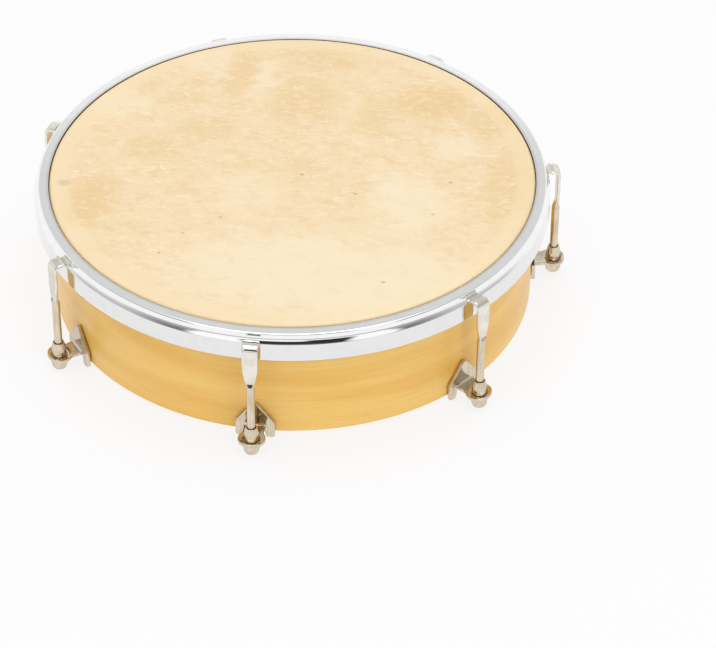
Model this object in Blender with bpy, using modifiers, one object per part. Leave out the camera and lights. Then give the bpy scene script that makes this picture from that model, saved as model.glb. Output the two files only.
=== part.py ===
"""Tunable hand drum: a natural skin on a round wooden shell, pulled down by a chromed hoop,
seven claw hooks and seven slotted nuts. Metres, +Z up, standing on the ends of its nuts."""

import math

import bmesh
import bpy
from mathutils import Matrix, Vector

# ---------------------------------------------------------------- driving dimensions

LUGS = 7
RING_STEPS = 63              # facets round the shell, the head and the hoop: nine to a lug
CLEARANCE = 0.0003           # gap kept between pieces that touch

# Heights above the plane that the drum stands on
HEAD_Z = 0.0719              # playing surface
SHELL_FOOT_Z = 0.0026        # lower edge of the shell
BRACKET_FOOT_Z = 0.0006      # feet of the bracket plates
EYE_TOP_Z = 0.0086           # upper face of a bracket's eye

# Shell
SHELL_RADIUS = 0.1270
SHELL_WALL = 0.0075
BEARING_RADIUS = 0.0025      # rounding of the outer upper edge, which the skin is pulled over
SHELL_ROUND = 0.0006

# Head
SKIN = 0.0007                # thickness of the hide
TUCK_DROP = 0.0082           # roll of hide under the hoop, below the playing surface
TUCK_HEIGHT = 0.0066
TUCK_CORNER = 0.0009

# Counter hoop
HOOP_RADIUS = 0.1356         # outer side of the skirt
CROWN_RADIUS = 0.1334        # outer side of the crown
CROWN_DROP = 0.0009          # top of the crown below the playing surface
CROWN_ROUND = 0.0012         # its inner edge, beside the skin's bend
CROWN_CORNER = 0.0005        # its outer edge
FLANGE_DROP = 0.0054         # lower edge of the inner flange below the playing surface
COVE_ROUND = 0.0063          # hollow of the flank, which the claws catch
COVE_TURN = 46               # degrees from upright at the skirt's upper edge
SKIRT_DROP = 0.0162          # lower edge of the skirt below the playing surface
HOOP_METAL = 0.0013

# Claw hooks
HOOK_CIRCLE = 0.1404         # radius of the circle that the rods and nuts stand on
ROD_DIAMETER = 0.0042
CLAW_WIDTH = 0.0080
CLAW_THICKNESS = 0.0018
CLAW_TOP_DROP = 0.0043       # top of the claw below the playing surface
CLAW_LENGTH = 0.0243         # flat part, from its top down to the rod
CLAW_TIP_RADIUS = 0.1357     # end of the claw in the hollow of the hoop's flank
CLAW_TIP_RISE = 0.0006       # the tip turns up by this much, as the flank does
CLAW_CREASE_RADIUS = 0.1368  # where the claw's level top turns up to its tip
CLAW_OFFSET = 0.0006         # the flat part stands this far outside the rod's axis
CLAW_BEND = 0.0021
CLAW_CORNER = 0.0004
CLAW_DRAW = 0.0120           # length over which the flat part draws in to the rod
CLAW_DRAW_STEPS = ((1, 0), (0.6, 0), (0.25, 0.15), (0, 0.5))   # shares of that length and of the offset

# Brackets
PLATE_WIDTH = 0.0202
PLATE_HEIGHT = 0.0218
PLATE_SIDE_HEIGHT = 0.0094   # the sides are upright this far, then slope to the tip
PLATE_TIP_RADIUS = 0.0021
PLATE_THICKNESS = 0.0022
PLATE_CHAMFER = 0.0004
PLATE_CORNER = 0.0015
NOTCH_TAPER = 0.0012         # the notch under the tongue narrows by this much on each side
TONGUE_WIDTH = 0.0112
TONGUE_THICKNESS = 0.0018
EYE_LENGTH = 0.0059          # from the nut's axis to the end of the eye
EYE_HALF_WIDTH = 0.0071
EYE_HOLE_RADIUS = 0.0042
WAIST = 0.0003               # the tongue's waist is narrower by this much on each side
FILLET = 0.0012
JOIN = 0.0002                # how far joined bodies run into one another

# Nuts
NUT_SIDES = 12
NUT_HEAD_RADIUS = 0.00475
NUT_FOOT_RADIUS = 0.0034
NUT_COLLAR_RADIUS = 0.0038
NUT_NECK_RADIUS = 0.0031
NUT_TOP_Z = 0.0161
NUT_NECK_HEIGHT = 0.0035
NUT_FOOT_HEIGHT = 0.0018
NUT_HEAD_TAPER = 0.0004
NUT_BORE_RADIUS = 0.0026
NUT_BORE_FLOOR_Z = 0.0050
ROD_END_GAP = 0.0010         # from the bore's floor to the end of the rod
SLOT_WIDTH = 0.0016
SLOT_DEPTH = 0.0026
NUT_TURNS = (1.60, 0.80, 0.55, 1.30, 0.10, 0.80, 2.60)   # how far each nut was last turned, radians

# Worked out from the above
BEARING_CENTER = SHELL_RADIUS - BEARING_RADIUS
BEND_RADIUS = BEARING_RADIUS + CLEARANCE + SKIN
SKIN_RADIUS = BEARING_CENTER + BEND_RADIUS
HOOP_INNER_RADIUS = SKIN_RADIUS + CLEARANCE
EYE_REACH = HOOK_CIRCLE + EYE_LENGTH
ROD_TOP_Z = HEAD_Z - CLAW_TOP_DROP - CLAW_LENGTH
# The box round the drum is centred on the origin. Seven lugs reach further to the front than the
# hoop does to the back, so the drum's axis stands behind the origin by half the difference.
AXIS_Y = (EYE_REACH - HOOP_RADIUS) / 2

# ---------------------------------------------------------------- scene, collections, materials


def clear_scene():
    for old in list(bpy.data.objects):
        bpy.data.objects.remove(old, do_unlink=True)


def new_collection(name):
    collection = bpy.data.collections.new(name)
    bpy.context.scene.collection.children.link(collection)
    return collection


def principled(name, color, roughness, metallic=0.0):
    material = bpy.data.materials.new(name)
    material.use_nodes = True
    shader = material.node_tree.nodes["Principled BSDF"]
    shader.inputs["Base Color"].default_value = (*color, 1.0)
    shader.inputs["Roughness"].default_value = roughness
    shader.inputs["Metallic"].default_value = metallic
    return material


# ---------------------------------------------------------------- modelling helpers


def arc(center, radius, start, stop, points):
    """Points on an arc of a circle, from start to stop in degrees."""
    x, y = center
    turns = [math.radians(start + (stop - start) * i / (points - 1)) for i in range(points)]
    return [(x + radius * math.cos(t), y + radius * math.sin(t)) for t in turns]


def place(name, mesh, parent, location=(0, 0, 0), turn=0.0):
    piece = bpy.data.objects.new(name, mesh)
    DRUM.objects.link(piece)
    piece.parent = parent
    piece.location = location
    piece.rotation_euler = (0, 0, turn)
    return piece


def turned(name, profile, steps, closed):
    """An object that a Screw modifier turns about Z from a profile of (radius, height) points."""
    mesh = bpy.data.meshes.new(name)
    count = len(profile)
    edges = [(i, i + 1) for i in range(count - 1)]
    if closed:
        edges.append((count - 1, 0))
    mesh.from_pydata([(r, 0, z) for r, z in profile], edges, [])
    piece = bpy.data.objects.new(name, mesh)
    DRUM.objects.link(piece)
    screw = piece.modifiers.new("turn", "SCREW")
    screw.axis = "Z"
    screw.angle = math.tau
    screw.steps = steps
    screw.render_steps = steps
    screw.use_merge_vertices = True
    screw.merge_threshold = 0.00005
    return piece


def evaluated_mesh(piece, name):
    """The piece as its modifiers leave it, welded, in its own mesh; the piece itself is removed."""
    bpy.context.view_layer.update()
    graph = bpy.context.evaluated_depsgraph_get()
    mesh = bpy.data.meshes.new_from_object(piece.evaluated_get(graph))
    mesh.transform(piece.matrix_world)
    mesh.name = name
    body = bmesh.new()
    body.from_mesh(mesh)
    bmesh.ops.remove_doubles(body, verts=body.verts, dist=0.00001)
    bmesh.ops.recalc_face_normals(body, faces=body.faces)
    body.to_mesh(mesh)
    body.free()
    bpy.data.objects.remove(piece, do_unlink=True)
    return mesh


def finish(mesh, material, sharp_degrees=35):
    mesh.materials.clear()
    mesh.materials.append(material)
    mesh.shade_smooth()
    mesh.set_sharp_from_angle(angle=math.radians(sharp_degrees))


def slab(name, loops, thickness, chamfer=0.0):
    """A flat sheet with the given outlines, lying in XY and centred on it, as a plain mesh object."""
    curve = bpy.data.curves.new(name, "CURVE")
    curve.dimensions = "2D"
    curve.fill_mode = "BOTH"
    curve.extrude = thickness / 2 - chamfer
    curve.bevel_depth = chamfer
    curve.bevel_resolution = 0
    curve.offset = -chamfer
    curve.render_resolution_u = 0
    for loop in loops:
        spline = curve.splines.new("POLY")
        spline.points.add(len(loop) - 1)
        spline.use_cyclic_u = True
        for point, (x, y) in zip(spline.points, loop):
            point.co = (x, y, 0, 1)
    sheet = bpy.data.objects.new(name, curve)
    DRUM.objects.link(sheet)
    mesh = evaluated_mesh(sheet, name)
    piece = bpy.data.objects.new(name, mesh)
    DRUM.objects.link(piece)
    return piece


def box(name, low, high, collection):
    """A box between two corners."""
    body = bmesh.new()
    bmesh.ops.create_cube(body, size=1)
    low, high = Vector(low), Vector(high)
    stretch = Matrix.Diagonal((*(high - low), 1))
    bmesh.ops.transform(body, matrix=Matrix.Translation((low + high) / 2) @ stretch, verts=body.verts)
    mesh = bpy.data.meshes.new(name)
    body.to_mesh(mesh)
    body.free()
    piece = bpy.data.objects.new(name, mesh)
    collection.objects.link(piece)
    return piece


def combine(piece, other, operation):
    boolean = piece.modifiers.new(operation.lower(), "BOOLEAN")
    boolean.operation = operation
    boolean.solver = "EXACT"
    boolean.object = other
    return boolean


# ---------------------------------------------------------------- shell, head and hoop


def shell_profile():
    """Outer side down, foot, inner side up, and the bearing edge with its outer corner rounded."""
    top = HEAD_Z - SKIN - CLEARANCE
    foot = SHELL_FOOT_Z
    outer = SHELL_RADIUS
    inner = outer - SHELL_WALL
    bearing = arc((BEARING_CENTER, top - BEARING_RADIUS), BEARING_RADIUS, 90, 0, 4)
    return bearing + [
        (outer, foot + SHELL_ROUND),
        (outer - SHELL_ROUND, foot),
        (inner + SHELL_ROUND, foot),
        (inner, foot + SHELL_ROUND),
        (inner, top - SHELL_ROUND),
        (inner + SHELL_ROUND, top),
    ]


def head_profile():
    """Playing surface, bend over the shell, side of the skin and the roll that the hoop pulls down."""
    bend = (BEARING_CENTER, HEAD_Z - BEND_RADIUS)
    roll_top = HEAD_Z - TUCK_DROP
    roll_foot = roll_top - TUCK_HEIGHT
    roll_outer = HOOP_RADIUS - HOOP_METAL - CLEARANCE
    over = [(0, HEAD_Z)] + arc(bend, BEND_RADIUS, 90, 0, 4)
    roll = [
        (SKIN_RADIUS, roll_top),
        (roll_outer - TUCK_CORNER, roll_top),
        (roll_outer, roll_top - TUCK_CORNER),
        (roll_outer, roll_foot + TUCK_CORNER),
        (roll_outer - TUCK_CORNER, roll_foot),
        (SKIN_RADIUS - SKIN, roll_foot),
    ]
    under = arc(bend, BEND_RADIUS - SKIN, 0, 90, 3) + [(0, HEAD_Z - SKIN)]
    return over + roll + under


def hoop_profile():
    """Pressed metal: a level crown beside the skin's bend, a flank that hollows out to the skirt."""
    inner, outer, metal = HOOP_INNER_RADIUS, HOOP_RADIUS, HOOP_METAL
    top = HEAD_Z - CROWN_DROP
    crown_foot = top - CROWN_ROUND
    bend_height = HEAD_Z - BEND_RADIUS
    lip_turn = math.degrees(math.asin((crown_foot - bend_height) / (BEND_RADIUS + CLEARANCE)))
    lip = arc((BEARING_CENTER, bend_height), BEND_RADIUS + CLEARANCE, 0, lip_turn, 2)
    lip_radius = lip[-1][0]
    crown = arc((lip_radius + CROWN_ROUND, crown_foot), CROWN_ROUND, 180, 90, 3)[1:] + [
        (CROWN_RADIUS - CROWN_CORNER, top),
    ]
    hollow = (CROWN_RADIUS + COVE_ROUND, top - CROWN_CORNER)
    cove = arc(hollow, COVE_ROUND, 180, 180 + COVE_TURN, 5)
    edge_radius, edge_height = cove[-1]
    skirt_foot = HEAD_Z - SKIRT_DROP
    skirt = [
        (outer, edge_height - (outer - edge_radius)),
        (outer, skirt_foot),
        (outer - metal, skirt_foot),
    ]
    back = COVE_ROUND + metal
    across = hollow[0] - outer + metal
    under = [
        (outer - metal, hollow[1] - math.sqrt(back**2 - across**2)),
        (CROWN_RADIUS - metal, top - metal),
    ]
    flange_foot = HEAD_Z - FLANGE_DROP
    channel = [
        (inner + metal, top - metal),
        (inner + metal, flange_foot),
        (inner, flange_foot),
    ]
    return crown + cove + skirt + under + channel + lip


def make_rings(axis, wood, hide, chrome):
    for name, profile, closed, material in (
        ("shell", shell_profile(), True, wood),
        ("drum_head", head_profile(), False, hide),
        ("counter_hoop", hoop_profile(), True, chrome),
    ):
        ring = turned(name, profile, RING_STEPS, closed)
        mesh = evaluated_mesh(ring, name)
        finish(mesh, material)
        place(name, mesh, axis, turn=-math.pi / 2)


# ---------------------------------------------------------------- claw hook


def smooth(t):
    t = min(max(t, 0.0), 1.0)
    return t * t * (3 - 2 * t)


def hook_route():
    """Middle line of the hook from the tip of its claw to the end of the rod, as (radius, height)."""
    mid_top = HEAD_Z - CLAW_TOP_DROP - CLAW_THICKNESS / 2
    tip = mid_top + CLAW_TIP_RISE
    claw_radius = HOOK_CIRCLE + CLAW_OFFSET
    claw = [(CLAW_TIP_RADIUS, tip), (CLAW_CREASE_RADIUS, mid_top)]
    bend = arc((claw_radius - CLAW_BEND, mid_top - CLAW_BEND), CLAW_BEND, 90, 0, 3)
    drawn_in = [
        (claw_radius - back * CLAW_OFFSET, ROD_TOP_Z + left * CLAW_DRAW) for left, back in CLAW_DRAW_STEPS
    ]
    rod = [(HOOK_CIRCLE, ROD_TOP_Z - ROD_DIAMETER / 2), (HOOK_CIRCLE, NUT_BORE_FLOOR_Z + ROD_END_GAP)]
    return claw + bend + drawn_in + rod


def hook_section(height):
    """Width, thickness and corner of the hook at a height: a flat claw that draws in to a round rod."""
    narrow = smooth((ROD_TOP_Z + CLAW_DRAW - height) / (CLAW_DRAW + ROD_DIAMETER / 2))
    thicken = smooth((ROD_TOP_Z + ROD_DIAMETER / 2 - height) / ROD_DIAMETER)
    width = CLAW_WIDTH + (ROD_DIAMETER - CLAW_WIDTH) * narrow
    thickness = CLAW_THICKNESS + (ROD_DIAMETER - CLAW_THICKNESS) * thicken
    octagon = ROD_DIAMETER * (1 - math.sqrt(0.5))
    return width, thickness, CLAW_CORNER + (octagon - CLAW_CORNER) * thicken


def hook_mesh():
    """Loft of eight-sided sections along the route, in the lug's own frame: X outward, Z up."""
    route = [Vector((r, 0, z)) for r, z in hook_route()]
    body = bmesh.new()
    rings = []
    for i, point in enumerate(route):
        before = route[max(i - 1, 0)]
        after = route[min(i + 1, len(route) - 1)]
        along = (after - before).normalized()
        outward = Vector((-along.z, 0, along.x))
        width, thickness, corner = hook_section(point.z)
        w, t = width / 2, thickness / 2
        section = [
            (w, t - corner), (w - corner, t), (corner - w, t), (-w, t - corner),
            (-w, corner - t), (corner - w, -t), (w - corner, -t), (w, corner - t),
        ]
        rings.append([body.verts.new(point + Vector((0, a, 0)) + outward * b) for a, b in section])
    for ring, following in zip(rings, rings[1:]):
        for k in range(8):
            body.faces.new((ring[k], ring[k - 1], following[k - 1], following[k]))
    body.faces.new(rings[0])
    body.faces.new(reversed(rings[-1]))
    bmesh.ops.recalc_face_normals(body, faces=body.faces)
    mesh = bpy.data.meshes.new("tension_hook")
    body.to_mesh(mesh)
    body.free()
    return mesh


# ---------------------------------------------------------------- bracket


def plate_outline():
    """House-shaped plate seen from outside: X across, Y up from its feet, notched under the tongue."""
    half, corner = PLATE_WIDTH / 2, PLATE_CORNER
    notch = TONGUE_WIDTH / 2
    notch_top = EYE_TOP_Z - TONGUE_THICKNESS - BRACKET_FOOT_Z
    tip_height = PLATE_HEIGHT - PLATE_TIP_RADIUS
    slope = 0.75 * math.degrees(math.atan2(half, tip_height - PLATE_SIDE_HEIGHT))
    right = arc((half - corner, corner), corner, -90, 0, 3) + [(half, PLATE_SIDE_HEIGHT)]
    crown = arc((0, tip_height), PLATE_TIP_RADIUS, slope, 180 - slope, 5)
    left = [(-half, PLATE_SIDE_HEIGHT)] + arc((corner - half, corner), corner, 180, 270, 3)
    under = [
        (-notch, 0),
        (-notch + NOTCH_TAPER, notch_top),
        (notch - NOTCH_TAPER, notch_top),
        (notch, 0),
    ]
    return right + crown + left + under


def eye_outline():
    """Tongue and eye seen from above: X outward from the shell, Y across."""
    start = SHELL_RADIUS + CLEARANCE + PLATE_THICKNESS / 2
    half = TONGUE_WIDTH / 2
    waist = (HOOK_CIRCLE - EYE_HALF_WIDTH, half - WAIST)
    stretch = EYE_LENGTH / EYE_HALF_WIDTH
    ring = [(HOOK_CIRCLE + x * stretch, y) for x, y in arc((0, 0), EYE_HALF_WIDTH, -126, 126, 13)]
    return [(start, -half), (waist[0], -waist[1])] + ring + [waist, (start, half)]


def bracket_mesh():
    back = SHELL_RADIUS + CLEARANCE
    plate = slab("plate", [plate_outline()], PLATE_THICKNESS, PLATE_CHAMFER)
    stand_up = Matrix(((0, 0, 1), (1, 0, 0), (0, 1, 0))).to_4x4()
    plate.data.transform(Matrix.Translation((back + PLATE_THICKNESS / 2, 0, BRACKET_FOOT_Z)) @ stand_up)
    hole = arc((HOOK_CIRCLE, 0), EYE_HOLE_RADIUS, 0, 330, 12)
    eye = slab("eye", [eye_outline(), hole], TONGUE_THICKNESS)
    eye.data.transform(Matrix.Translation((0, 0, EYE_TOP_Z - TONGUE_THICKNESS / 2)))
    combine(plate, eye, "UNION")
    wedge = slab("fillet", [[(0, 0), (FILLET, 0), (0, FILLET)]], TONGUE_WIDTH)
    face = back + PLATE_THICKNESS - JOIN
    lie_across = Matrix(((1, 0, 0), (0, 0, -1), (0, 1, 0))).to_4x4()
    wedge.data.transform(Matrix.Translation((face, 0, EYE_TOP_Z - JOIN)) @ lie_across)
    combine(plate, wedge, "UNION")
    mesh = evaluated_mesh(plate, "bracket")
    for helper in (eye, wedge):
        bpy.data.objects.remove(helper, do_unlink=True)
    return mesh


# ---------------------------------------------------------------- nut


def nut_profile():
    """Neck, collar through the eye, head below it and a rounded foot; the rod runs in a blind bore."""
    head_top = EYE_TOP_Z - TONGUE_THICKNESS - CLEARANCE
    return [
        (NUT_BORE_RADIUS, NUT_TOP_Z),
        (NUT_NECK_RADIUS, NUT_TOP_Z),
        (NUT_COLLAR_RADIUS, NUT_TOP_Z - NUT_NECK_HEIGHT),
        (NUT_COLLAR_RADIUS, head_top),
        (NUT_HEAD_RADIUS, head_top),
        (NUT_HEAD_RADIUS - NUT_HEAD_TAPER, NUT_FOOT_HEIGHT),
        (NUT_FOOT_RADIUS, 0),
        (0, 0),
    ]


def nut_mesh():
    outside = nut_profile()
    bore = [(0, NUT_BORE_FLOOR_Z), (NUT_BORE_RADIUS, NUT_BORE_FLOOR_Z)]
    nut = turned("nut", bore + outside, NUT_SIDES, False)
    slot = box(
        "slot_cutter",
        (-2 * NUT_HEAD_RADIUS, -SLOT_WIDTH / 2, -SLOT_DEPTH),
        (2 * NUT_HEAD_RADIUS, SLOT_WIDTH / 2, SLOT_DEPTH),
        CUTTERS,
    )
    slot.hide_render = True
    slot.display_type = "WIRE"
    combine(nut, slot, "DIFFERENCE")
    return evaluated_mesh(nut, "tuning_nut")


# ---------------------------------------------------------------- lugs


def make_lugs(axis, nickel):
    hook = hook_mesh()
    bracket = bracket_mesh()
    nut = nut_mesh()
    for mesh in (hook, bracket, nut):
        finish(mesh, nickel)
    for i, own_turn in enumerate(NUT_TURNS):
        number = i + 1
        around = math.tau * i / LUGS - math.pi / 2
        place(f"tension_hook_{number}", hook, axis, turn=around)
        place(f"bracket_{number}", bracket, axis, turn=around)
        spot = (HOOK_CIRCLE * math.cos(around), HOOK_CIRCLE * math.sin(around), 0)
        place(f"tuning_nut_{number}", nut, axis, location=spot, turn=around + own_turn)


clear_scene()
DRUM = new_collection("hand_drum")
CUTTERS = new_collection("cutters")
AXIS = bpy.data.objects.new("drum_axis", None)
AXIS.location = (0, AXIS_Y, 0)
DRUM.objects.link(AXIS)

WOOD = principled("lacquered_wood", (0.80, 0.53, 0.22), 0.35)
HIDE = principled("natural_hide", (0.92, 0.79, 0.56), 0.60)
CHROME = principled("chromed_steel", (0.85, 0.86, 0.87), 0.12, 1.0)
NICKEL = principled("nickelled_steel", (0.80, 0.76, 0.69), 0.28, 1.0)

make_rings(AXIS, WOOD, HIDE, CHROME)
make_lugs(AXIS, NICKEL)
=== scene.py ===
"""Looks of the hand drum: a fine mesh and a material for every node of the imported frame.

Shapes are worked out in millimetres about the drum's own axis, with Z up from the plane that
the drum stands on. show() turns each one about that axis and moves it into the row frame."""
import math

import bmesh
import bpy
import numpy as np
from mathutils import Matrix, Vector, noise


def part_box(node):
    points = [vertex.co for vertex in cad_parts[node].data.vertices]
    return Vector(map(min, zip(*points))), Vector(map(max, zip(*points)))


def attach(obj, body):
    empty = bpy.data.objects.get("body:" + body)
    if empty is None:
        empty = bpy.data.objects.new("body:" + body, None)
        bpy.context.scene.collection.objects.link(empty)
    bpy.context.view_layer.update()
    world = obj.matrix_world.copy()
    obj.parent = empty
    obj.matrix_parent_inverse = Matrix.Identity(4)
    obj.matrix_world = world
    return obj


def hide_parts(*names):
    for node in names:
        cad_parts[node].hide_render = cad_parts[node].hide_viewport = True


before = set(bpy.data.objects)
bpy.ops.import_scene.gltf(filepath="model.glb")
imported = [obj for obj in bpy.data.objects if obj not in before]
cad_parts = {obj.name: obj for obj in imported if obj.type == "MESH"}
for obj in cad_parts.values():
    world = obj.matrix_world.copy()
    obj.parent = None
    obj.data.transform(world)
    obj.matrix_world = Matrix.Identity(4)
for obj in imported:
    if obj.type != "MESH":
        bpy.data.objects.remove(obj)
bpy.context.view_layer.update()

MM = 0.001


def box_mm(node):
    """Lowest and highest corner of a CAD node, in millimetres."""
    low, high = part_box(node)
    return low / MM, high / MM


# ---------------------------------------------------------------- sizes, in millimetres

LUGS = 7
SHELL_LOW, SHELL_HIGH = box_mm("shell")
HEAD_LOW, HEAD_HIGH = box_mm("drum_head")
HOOP_LOW, HOOP_HIGH = box_mm("counter_hoop")
HOOK_LOW = box_mm("tension_hook_1")[0]
BRACKET_LOW, BRACKET_HIGH = box_mm("bracket_1")
NUT_HIGH = box_mm("tuning_nut_1")[1]

SHELL_RADIUS = 127.0
AXIS_Y = SHELL_LOW.y + SHELL_RADIUS      # the first lug and the rings' first corners stand at -Y
SHELL_WALL = 7.5
SHELL_FOOT = SHELL_LOW.z
SHELL_TOP = SHELL_HIGH.z
BEARING_ROUND = 2.5
CLEARANCE = 0.3

HEAD_Z = HEAD_HIGH.z
SKIN = 0.7
BEND_CENTER = SHELL_RADIUS - BEARING_ROUND
BEND_ROUND = BEARING_ROUND + CLEARANCE + SKIN
SKIN_RADIUS = BEND_CENTER + BEND_ROUND
ROLL_TOP = 63.7
ROLL_FOOT = HEAD_LOW.z
ROLL_RADIUS = 133.9

HOOP_RADIUS = 135.42
CROWN_Z = HOOP_HIGH.z
LIP_RADIUS = 127.85                      # the crown's inner edge, beside the skin's bend
LIP_Z = 70.1
LIP_ROUND = 0.12
CROWN_RADIUS = 133.4
CROWN_CORNER = 0.8
COVE_Z = CROWN_Z - 0.45                  # middle of the flank's hollow, which lies outside the hoop
COVE_ROUND = 6.3
COVE_TURN = 46                           # degrees from upright at the skirt's upper edge
SKIRT_TOP = COVE_Z - COVE_ROUND * math.sin(math.radians(COVE_TURN))
SKIRT_FOOT = HOOP_LOW.z
HOOP_METAL = 1.25
LIP_FOOT = 66.6                          # the turned-down inner edge ends here, inside the hoop
LIP_METAL = 0.9

LUG_RADIUS = 140.4                       # circle that the rods and nuts stand on
ROD_RADIUS = 2.1
CLAW_WIDTH = 8.0
CLAW_METAL = 1.8
CLAW_TOP = HEAD_Z - 4.35                 # the level part; the tip stands higher
CLAW_TIP_RADIUS = 135.65
CLAW_CREASE_RADIUS = 136.4               # where its level top turns up to the tip
CLAW_TIP_RISE = 0.55
CLAW_FACE_RADIUS = LUG_RADIUS + 0.6      # middle of the claw's upright part
CLAW_BEND = 2.6
ROD_TOP = 43.3                           # where the flat face runs out into the round rod
ROD_FOOT = HOOK_LOW.z

PLATE_WIDTH = 20.2
PLATE_FOOT = BRACKET_LOW.z
PLATE_TOP = BRACKET_HIGH.z
PLATE_SIDE = 9.4                         # upright part of the plate's sides
PLATE_METAL = 2.2
TONGUE_WIDTH = 11.2
TONGUE_METAL = 1.8
EYE_TOP = 8.6
EYE_LENGTH = 5.86
EYE_HALF_WIDTH = 7.1
EYE_HOLE = 4.2

NUT_TOP = NUT_HIGH.z
NUT_HEAD = 4.75
NUT_TAPER = 0.75
NUT_FOOT = 3.3
NUT_COLLAR = 3.8
NUT_NECK = 2.95
NUT_BORE = 2.35
NUT_BORE_DEPTH = 2.5
NUT_NECK_LENGTH = 3.6
NUT_TAPER_FOOT = 1.7                     # height where the taper ends and the foot begins
NUT_SLOT = 1.6
NUT_SLOT_DEPTH = 2.6
NUT_TURNS = (1.60, 0.80, 0.55, 1.30, 0.10, 0.80, 2.60)   # radians, as in the frame

# ---------------------------------------------------------------- mesh helpers


def arc(center, radius, start, stop, points):
    """Points on an arc of a circle, from start to stop in degrees."""
    turns = np.radians(np.linspace(start, stop, points))
    return [(center[0] + radius * math.cos(t), center[1] + radius * math.sin(t)) for t in turns]


def rounded(corners, closed=True, points=6):
    """Outline through (x, y, rounding) corners, each corner a short arc that touches its sides."""
    outline = []
    count = len(corners)
    for i, (x, y, radius) in enumerate(corners):
        here = Vector((x, y))
        if radius == 0 or (not closed and i in (0, count - 1)):
            outline.append((x, y))
            continue
        to_last = (Vector(corners[i - 1][:2]) - here).normalized()
        to_next = (Vector(corners[(i + 1) % count][:2]) - here).normalized()
        half = to_last.angle(to_next) / 2
        middle = here + (to_last + to_next).normalized() * (radius / math.sin(half))
        first = here + to_last * (radius / math.tan(half)) - middle
        turn = (here + to_next * (radius / math.tan(half)) - middle).angle_signed(first)
        for k in range(points):
            outline.append(tuple(middle + Matrix.Rotation(turn * k / (points - 1), 2) @ first))
    return outline


def loft(name, rings, closed=False, caps=True):
    """Mesh through rings of equally many points. Closed joins the last ring to the first."""
    rings = np.asarray(rings, float)
    count, around = rings.shape[:2]
    rows = np.arange(count if closed else count - 1)
    a = (rows[:, None] * around + np.arange(around)).ravel()
    b = (rows[:, None] * around + (np.arange(around) + 1) % around).ravel()
    c = (((rows + 1) % count)[:, None] * around + (np.arange(around) + 1) % around).ravel()
    d = (((rows + 1) % count)[:, None] * around + np.arange(around)).ravel()
    faces = np.stack((a, b, c, d), 1).tolist()
    if caps and not closed:
        faces.append(list(range(around))[::-1])
        faces.append(list(range((count - 1) * around, count * around)))
    mesh = bpy.data.meshes.new(name)
    mesh.from_pydata((rings.reshape(-1, 3) * MM).tolist(), [], faces)
    tidy(mesh)
    return mesh


def lathe(name, profile, steps, closed=True):
    """Mesh turned about Z from (radius, height) points. An open profile ends on the axis."""
    turns = np.arange(steps) * math.tau / steps
    around = np.stack((np.cos(turns), np.sin(turns)), 1)
    rings = [np.column_stack((around * r, np.full(steps, z))) for r, z in profile]
    return loft(name, rings, closed, caps=False)


def tidy(mesh):
    """Welds points that coincide and turns every face outward."""
    body = bmesh.new()
    body.from_mesh(mesh)
    bmesh.ops.remove_doubles(body, verts=body.verts, dist=0.002 * MM)
    bmesh.ops.recalc_face_normals(body, faces=body.faces)
    body.to_mesh(mesh)
    body.free()


def linked(name, mesh):
    piece = bpy.data.objects.new(name, mesh)
    bpy.context.scene.collection.objects.link(piece)
    return piece


def applied(piece, name):
    """The piece's mesh as its modifiers leave it; the piece itself is removed."""
    bpy.context.view_layer.update()
    graph = bpy.context.evaluated_depsgraph_get()
    mesh = bpy.data.meshes.new_from_object(piece.evaluated_get(graph))
    mesh.name = name
    tidy(mesh)
    bpy.data.objects.remove(piece, do_unlink=True)
    return mesh


def joined(name, first, others, operation="UNION"):
    """One closed mesh from the first mesh and the others, by exact Booleans."""
    base = linked("base", first)
    tools = [linked("tool", mesh) for mesh in others]
    for tool in tools:
        step = base.modifiers.new("step", "BOOLEAN")
        step.operation = operation
        step.solver = "EXACT"
        step.object = tool
    mesh = applied(base, name)
    for tool in tools:
        bpy.data.objects.remove(tool, do_unlink=True)
    return mesh


def slab(name, outline, thickness, bevel, resolution=3):
    """Flat sheet with a rounded edge, lying in XY and centred on it."""
    curve = bpy.data.curves.new(name, "CURVE")
    curve.dimensions = "2D"
    curve.fill_mode = "BOTH"
    curve.extrude = (thickness / 2 - bevel) * MM
    curve.bevel_depth = bevel * MM
    curve.bevel_resolution = resolution
    curve.offset = -bevel * MM
    spline = curve.splines.new("POLY")
    spline.points.add(len(outline) - 1)
    spline.use_cyclic_u = True
    for point, (x, y) in zip(spline.points, outline):
        point.co = (x * MM, y * MM, 0, 1)
    return applied(linked(name, curve), name)


def box_mesh(name, low, high):
    """Closed box between two corners."""
    body = bmesh.new()
    bmesh.ops.create_cube(body, size=1)
    low, high = Vector(low), Vector(high)
    stretch = Matrix.Diagonal((*((high - low) * MM), 1))
    bmesh.ops.transform(body, matrix=Matrix.Translation((low + high) / 2 * MM) @ stretch, verts=body.verts)
    mesh = bpy.data.meshes.new(name)
    body.to_mesh(mesh)
    body.free()
    return mesh


def smooth(t):
    t = min(max(t, 0.0), 1.0)
    return t * t * (3 - 2 * t)


def show(name, node, mesh, material, around=0.0, spot=(0, 0)):
    """Puts a copy of the mesh, turned about the drum's axis, where it stands for its CAD node."""
    mesh = mesh.copy()
    mesh.name = name
    place = Matrix.Translation(Vector((spot[0], AXIS_Y + spot[1], 0)) * MM)
    mesh.transform(place @ Matrix.Rotation(around, 4, "Z"))
    mesh.materials.append(material)
    piece = linked(name, mesh)
    even = piece.modifiers.new("even", "WEIGHTED_NORMAL")
    even.keep_sharp = True
    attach(piece, "root")
    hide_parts(node)


def smooth_shaded(mesh, sharp_degrees):
    mesh.shade_smooth()
    mesh.set_sharp_from_angle(angle=math.radians(sharp_degrees))


# ---------------------------------------------------------------- shell, skin and hoop

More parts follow.
